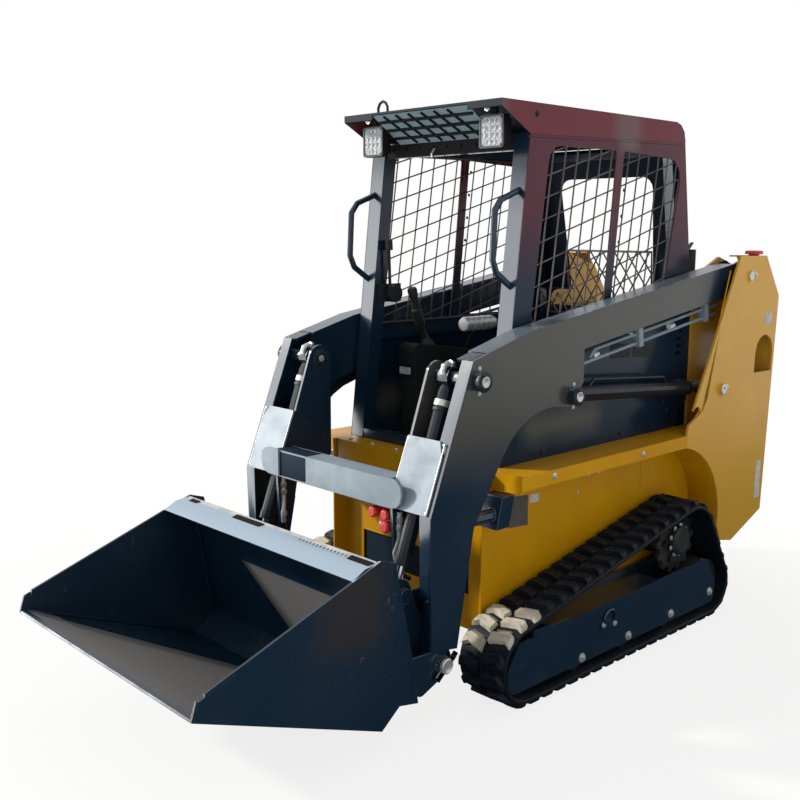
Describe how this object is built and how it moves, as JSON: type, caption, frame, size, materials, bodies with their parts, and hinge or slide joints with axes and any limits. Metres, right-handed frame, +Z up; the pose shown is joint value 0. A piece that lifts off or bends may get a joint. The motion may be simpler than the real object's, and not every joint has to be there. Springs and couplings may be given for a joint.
{
  "type": "mini skid steer loader",
  "caption": "Compact tracked loader with a sit-in safety cab, lift arms on rear towers, lift and tilt cylinders, and a general-purpose bucket on a quick coupler.",
  "frame": {"origin": "on the ground under the middle of the machine's overall length and width", "axes": "+Z up; -Y is the bucket end; +X is the machine's left side"},
  "size_m": [1.2, 2.982, 2.0472],
  "materials": {
    "yellow_paint": "semi-gloss",
    "slate_paint": "gloss",
    "cab_paint": "gloss",
    "bare_steel": "satin",
    "chrome": "polished",
    "black_rubber": "matte",
    "black_vinyl": "matte",
    "dark_casting": "rough",
    "lamp_glass": "gloss",
    "red_plastic": "gloss"
  },
  "bodies": {
    "chassis": {"hull": "yellow_paint", "fender_left": "yellow_paint", "fender_right": "yellow_paint", "tower_left": "yellow_paint", "tower_right": "yellow_paint", "engine_block": "dark_casting", "engine_hood": "slate_paint", "cab_frame": "slate_paint", "cab_side_left": "cab_paint", "cab_side_right": "cab_paint", "cab_roof": "cab_paint", "cab_rear_panel": "slate_paint", "window_mesh_left": "slate_paint", "window_mesh_right": "slate_paint", "seat": "black_vinyl", "control_console_left": "black_vinyl", "control_console_right": "black_vinyl", "throttle_lever": "black_vinyl", "grab_handle_left": "slate_paint", "grab_handle_right": "slate_paint", "work_light_left": "lamp_glass", "work_light_right": "lamp_glass", "exhaust": "dark_casting", "filler_cap": "red_plastic", "arm_stop_left": "slate_paint", "arm_stop_right": "slate_paint", "track_left": "black_rubber", "track_right": "black_rubber", "track_frame_left": "slate_paint", "track_frame_right": "slate_paint", "drive_sprocket_left": "dark_casting", "drive_sprocket_right": "dark_casting", "front_idler_left": "dark_casting", "front_idler_right": "dark_casting", "rear_idler_left": "dark_casting", "rear_idler_right": "dark_casting"},
    "loader_arms": {"loader_arm_left": "slate_paint", "loader_arm_right": "slate_paint", "arm_cross_tube": "bare_steel", "arm_cover_left": "bare_steel", "arm_cover_right": "bare_steel", "arm_pipes_left": "bare_steel", "arm_pipes_right": "bare_steel", "auxiliary_couplers": "red_plastic"},
    "bucket": {"quick_coupler": "slate_paint", "bucket": "slate_paint"},
    "rear_door": {"rear_door": "yellow_paint"},
    "lift_barrel_left": {"lift_barrel_left": "slate_paint"},
    "lift_rod_left": {"lift_rod_left": "chrome"},
    "tilt_barrel_left": {"tilt_barrel_left": "slate_paint"},
    "tilt_rod_left": {"tilt_rod_left": "chrome"},
    "lift_barrel_right": {"lift_barrel_right": "slate_paint"},
    "lift_rod_right": {"lift_rod_right": "chrome"},
    "tilt_barrel_right": {"tilt_barrel_right": "slate_paint"},
    "tilt_rod_right": {"tilt_rod_right": "chrome"}
  },
  "joints": [
    {"name": "arm_lift", "type": "hinge", "parent": "chassis", "child": "loader_arms", "pos_m": [0, 1.221, 1.393], "axis": [-1, 0, 0], "range_deg": [0, 60]},
    {"name": "bucket_tilt", "type": "hinge", "parent": "loader_arms", "child": "bucket", "pos_m": [0, -0.539, 0.203], "axis": [1, 0, 0], "range_deg": [-5, 112]},
    {"name": "rear_door_swing", "type": "hinge", "parent": "chassis", "child": "rear_door", "pos_m": [-0.352, 1.481, 0.8], "axis": [0, 0, 1], "range_deg": [0, 100]},
    {"name": "lift_barrel_left_swing", "type": "hinge", "parent": "loader_arms", "child": "lift_barrel_left", "pos_m": [0.4435, 0.086, 1.008], "axis": [1, 0, 0], "range_deg": [0, 3.2]},
    {"name": "lift_rod_left_slide", "type": "slide", "parent": "lift_barrel_left", "child": "lift_rod_left", "axis": [0, 0.9973, -0.0737], "range_m": [0, 0.4865]},
    {"name": "tilt_barrel_left_swing", "type": "hinge", "parent": "loader_arms", "child": "tilt_barrel_left", "pos_m": [0.362, -0.404, 1.108], "axis": [1, 0, 0], "range_deg": [-0.2, 2.4]},
    {"name": "tilt_rod_left_slide", "type": "slide", "parent": "tilt_barrel_left", "child": "tilt_rod_left", "axis": [0, -0.3381, -0.9411], "range_m": [-0.02, 0.427]},
    {"name": "lift_barrel_right_swing", "type": "hinge", "parent": "loader_arms", "child": "lift_barrel_right", "pos_m": [-0.4435, 0.086, 1.008], "axis": [1, 0, 0], "range_deg": [0, 3.2]},
    {"name": "lift_rod_right_slide", "type": "slide", "parent": "lift_barrel_right", "child": "lift_rod_right", "axis": [0, 0.9973, -0.0737], "range_m": [0, 0.4865]},
    {"name": "tilt_barrel_right_swing", "type": "hinge", "parent": "loader_arms", "child": "tilt_barrel_right", "pos_m": [-0.362, -0.404, 1.108], "axis": [1, 0, 0], "range_deg": [-0.2, 2.4]},
    {"name": "tilt_rod_right_slide", "type": "slide", "parent": "tilt_barrel_right", "child": "tilt_rod_right", "axis": [0, -0.3381, -0.9411], "range_m": [-0.02, 0.427]}
  ],
  "couplings": [
    {"joint": "lift_barrel_left_swing", "follows": "arm_lift", "ratio": 0.05},
    {"joint": "lift_rod_left_slide", "follows": "arm_lift", "m_per_rad": 0.46359},
    {"joint": "tilt_barrel_left_swing", "follows": "bucket_tilt", "ratio": 0.02},
    {"joint": "tilt_rod_left_slide", "follows": "bucket_tilt", "m_per_rad": 0.21793},
    {"joint": "lift_barrel_right_swing", "follows": "arm_lift", "ratio": 0.05},
    {"joint": "lift_rod_right_slide", "follows": "arm_lift", "m_per_rad": 0.46359},
    {"joint": "tilt_barrel_right_swing", "follows": "bucket_tilt", "ratio": 0.02},
    {"joint": "tilt_rod_right_slide", "follows": "bucket_tilt", "m_per_rad": 0.21793}
  ]
}
